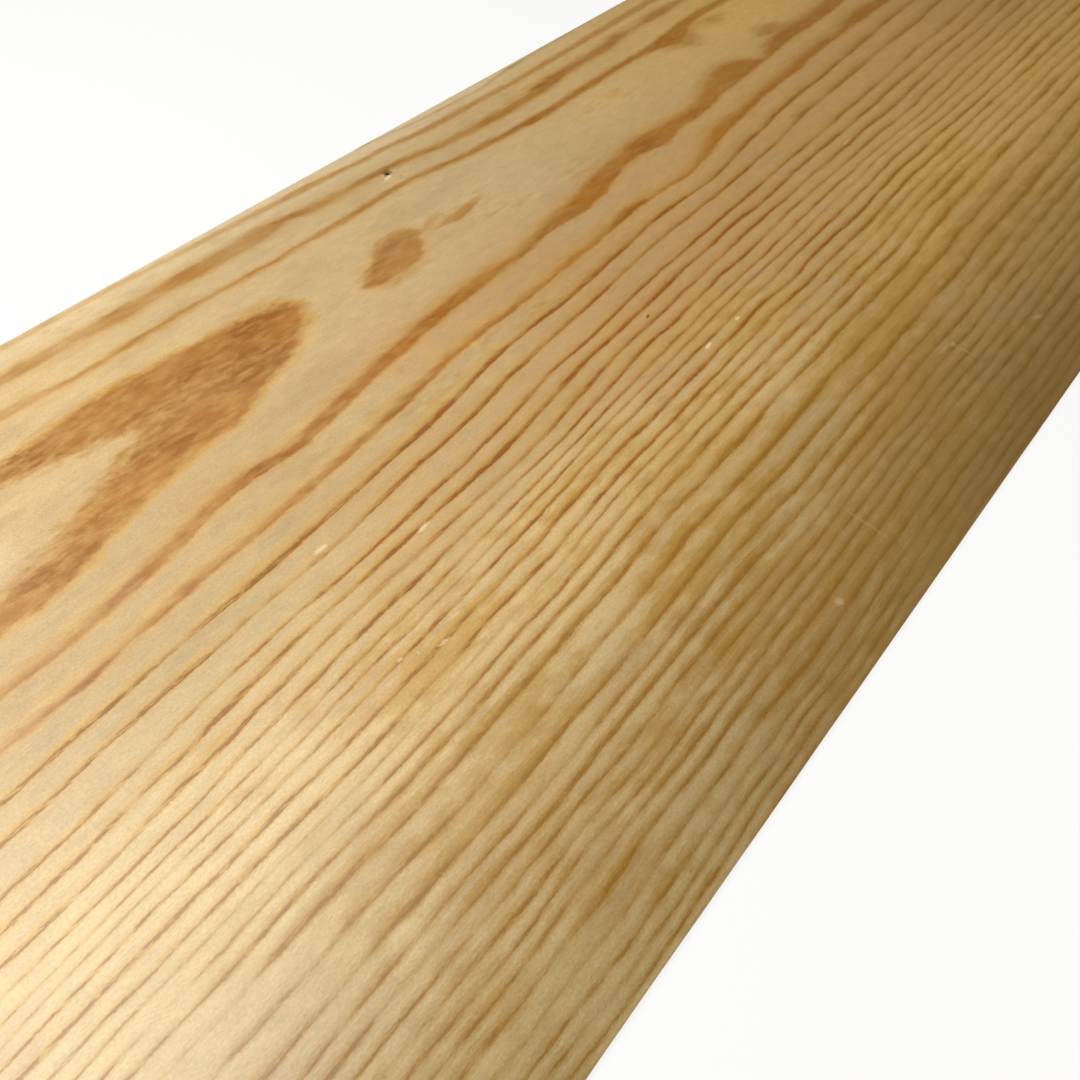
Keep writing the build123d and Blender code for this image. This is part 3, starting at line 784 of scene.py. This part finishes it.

# All of it, from the pale wood up, and the fibres' streaks, with a speckle that is stronger at the
# near end: partly the fibres' grain and partly painted glints of the fibres in the sheen there
shade = layered(
    colours["wide ring"], (narrow, colours["narrow ring"]), (golden_wood, srgb("#BD9342")),
    (greyish, srgb("#C1A479")), (resin_and_far_light, srgb("#E6BA68")), (edge_sheen, srgb("#F6E4C0")),
    (belt, colours["dull belt"]), (gold, colours["rim"]), (line_gold, line_rim), (core, brown),
    (line_core, line_brown), (curl_shade, srgb("#7A6032")),
)
streak = pine("MapRange", {"Value": fibre}, ramp=(0.3, 0.7, 0.96, 1.03))
speckle_with_glints = pine("MapRange", {"Value": along}, ramp=(-200.0, 60.0, 0.5, 0.12))
streak = swayed(
    streak, (grain["X"], speckle_with_glints), (cloud["Z"], 0.16), (curls["Y"], 0.16), (mottle["Z"], -0.18),
)
shade = pine("VectorMath", {0: shade, "Scale": streak}, operation="SCALE")

# Small marks of the show face: pale where fibres are torn or rubbed up, dark where they are stained,
# a dark one round the pinhole that is partly painted shade, and a broad pale one that is a painted sheen
mark = pine("Attribute", out="Vector", attribute_name="mark_at")
mark_shade = pine("SeparateXYZ", {0: mark}).node.outputs["Z"]
mark = pine("VectorMath", {0: mark, 1: (1.0, 1.0, 0.0)}, operation="MULTIPLY")
mark = pine("VectorMath", {0: mark}, "Value", operation="LENGTH")
mark = swayed(mark, (grain["Z"], 1.2))
mark = pine("MapRange", {"Value": mark}, ramp=(1.3, 0.4), interpolation_type="SMOOTHSTEP")
on_show = pine("Math", {0: height, 1: 0.05}, operation="GREATER_THAN")
mark = pine("Math", {0: mark, 1: on_show}, operation="MULTIPLY")
is_pale = pine("Math", {0: mark_shade, 1: 0.0}, operation="GREATER_THAN")
mark_strength = pine("Math", {0: mark_shade}, operation="ABSOLUTE")
mark = pine("Math", {0: mark, 1: mark_strength}, operation="MULTIPLY")
mark_colour = layered(srgb("#2A1B0E"), (is_pale, srgb("#F2E0B8")))
shade = layered(shade, (mark, mark_colour))

# Surface: raised fibres, and a satin sheen across them that is a little sharper on the hard latewood
relief = pine("Bump", {"Height": fibre, "Distance": 0.025 * MM, "Strength": 1.0})
gloss = pine("Math", {0: core, 1: -0.05, 2: 0.37}, operation="MULTIPLY_ADD")
surface = pine("BsdfPrincipled", {
    "Base Color": shade, "Roughness": gloss, "Normal": relief, "Specular IOR Level": 1.0,
    "Anisotropic": 0.4, "Tangent": pine("Tangent", direction_type="UV_MAP", uv_map="OFBake"),
})
pine("OutputMaterial", {"Surface": surface}, out=slice(0))

leaf = bpy.data.objects.new("veneer_leaf", bpy.data.meshes.new("veneer_leaf"))
bpy.context.collection.objects.link(leaf)
grown = leaf.modifiers.new("leaf", "NODES")
grown.node_group = leaf_tree
for item in leaf_tree.interface.items_tree:
    if item.in_out == "INPUT":
        grown[item.identifier] = wood if item.name == "Wood" else leaf_sizes[item.name]
evaluated = leaf.evaluated_get(bpy.context.evaluated_depsgraph_get())
leaf_mesh = bpy.data.meshes.new_from_object(evaluated)
leaf.modifiers.clear()
leaf.data = leaf_mesh
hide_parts("veneer_sheet")
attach(leaf, "root")

# Floor: plain white card, far wider than the view. It looks white to the camera and in gloss, and
# the part of its look that is lit keeps the leaf's shadow. Under the leaf it is only lit, so the
# pinhole shows it dark. From below it is white all over.
floor_mesh = bpy.data.meshes.new("floor")
floor_mesh.from_pydata([(-20, -20, 0), (20, -20, 0), (20, 20, 0), (-20, 20, 0)], [], [(0, 1, 2, 3)])
floor = bpy.data.objects.new("floor", floor_mesh)
bpy.context.collection.objects.link(floor)
card = bpy.data.materials.new("white_card")
card.use_nodes = True
card.node_tree.nodes.clear()
board = partial(add, card.node_tree)
shown_share = 0.86
under_leaf = (0.29, 0.09)
seen = board("LightPath").node.outputs
shown = board("Math", {0: seen["Is Camera Ray"], 1: seen["Is Glossy Ray"]}, operation="MAXIMUM")
shown = board("Math", {0: shown, 1: seen["Is Transmission Ray"]}, operation="MAXIMUM")
shown = board("Math", {0: shown, 1: shown_share}, operation="MULTIPLY")
under = board("TexCoord", out="Object")
under = board("VectorMath", {0: under}, operation="ABSOLUTE")
under = board("SeparateXYZ", {0: under}).node.outputs
beyond_end = board("Math", {0: under["X"], 1: under_leaf[0]}, operation="GREATER_THAN")
beyond_side = board("Math", {0: under["Y"], 1: under_leaf[1]}, operation="GREATER_THAN")
beyond = board("Math", {0: beyond_end, 1: beyond_side}, operation="MAXIMUM")
is_back_side = board("NewGeometry", out="Backfacing")
beyond = board("Math", {0: beyond, 1: is_back_side}, operation="MAXIMUM")
shown = board("Math", {0: shown, 1: beyond}, operation="MULTIPLY")
lit = board("BsdfDiffuse", {"Color": (0.85, 0.85, 0.85, 1.0)})
glow = board("Emission", {"Color": (1.0, 1.0, 1.0, 1.0), "Strength": 1.0})
board("OutputMaterial", {"Surface": board("MixShader", {0: shown, 1: lit, 2: glow})}, out=slice(0))
floor.data.materials.append(card)

# Light: one broad soft lamp above the near end on the flat edge's side, and a dim even room, which
# only the camera sees as white
lamp = bpy.data.lights.new("soft_lamp", "AREA")
lamp.energy = 3.95
lamp.size = 0.55
lamp.color = (1.0, 0.96, 0.88)
lamp_object = bpy.data.objects.new("soft_lamp", lamp)
lamp_object.location = (-0.28, 0.15, 0.40)
lamp_aim = lamp_object.location - Vector((0.0, 0.02, 0.0))
lamp_object.rotation_euler = lamp_aim.to_track_quat("Z", "Y").to_euler()
lamp_object.visible_camera = False
bpy.context.collection.objects.link(lamp_object)
world = bpy.data.worlds.new("room")
bpy.context.scene.world = world
world.use_nodes = True
world.node_tree.nodes.clear()
room = partial(add, world.node_tree)
seen = room("LightPath").node.outputs
shown = room("Math", {0: seen["Is Camera Ray"], 1: seen["Is Transmission Ray"]}, operation="MAXIMUM")
dim = room("Background", {"Color": (1.0, 0.97, 0.91, 1.0), "Strength": 0.065})
white = room("Background", {"Color": (1.0, 1.0, 1.0, 1.0), "Strength": 1.0})
room("OutputWorld", {"Surface": room("MixShader", {0: shown, 1: dim, 2: white})}, out=slice(0))

# Camera: low over the near end, looking down along the leaf
camera_dip = 47.534
camera_turn = 37.908
camera_data = bpy.data.cameras.new("camera")
camera_data.lens = 36
camera_data.sensor_width = 36
camera_data.clip_start = 0.005
camera = bpy.data.objects.new("camera", camera_data)
camera.location = (-0.212, -0.12158, 0.15362)
camera.rotation_euler = (radians(90 - camera_dip), 0, radians(camera_turn - 90))
bpy.context.collection.objects.link(camera)
bpy.context.scene.camera = camera
bpy.context.scene.view_settings.view_transform = "Standard"
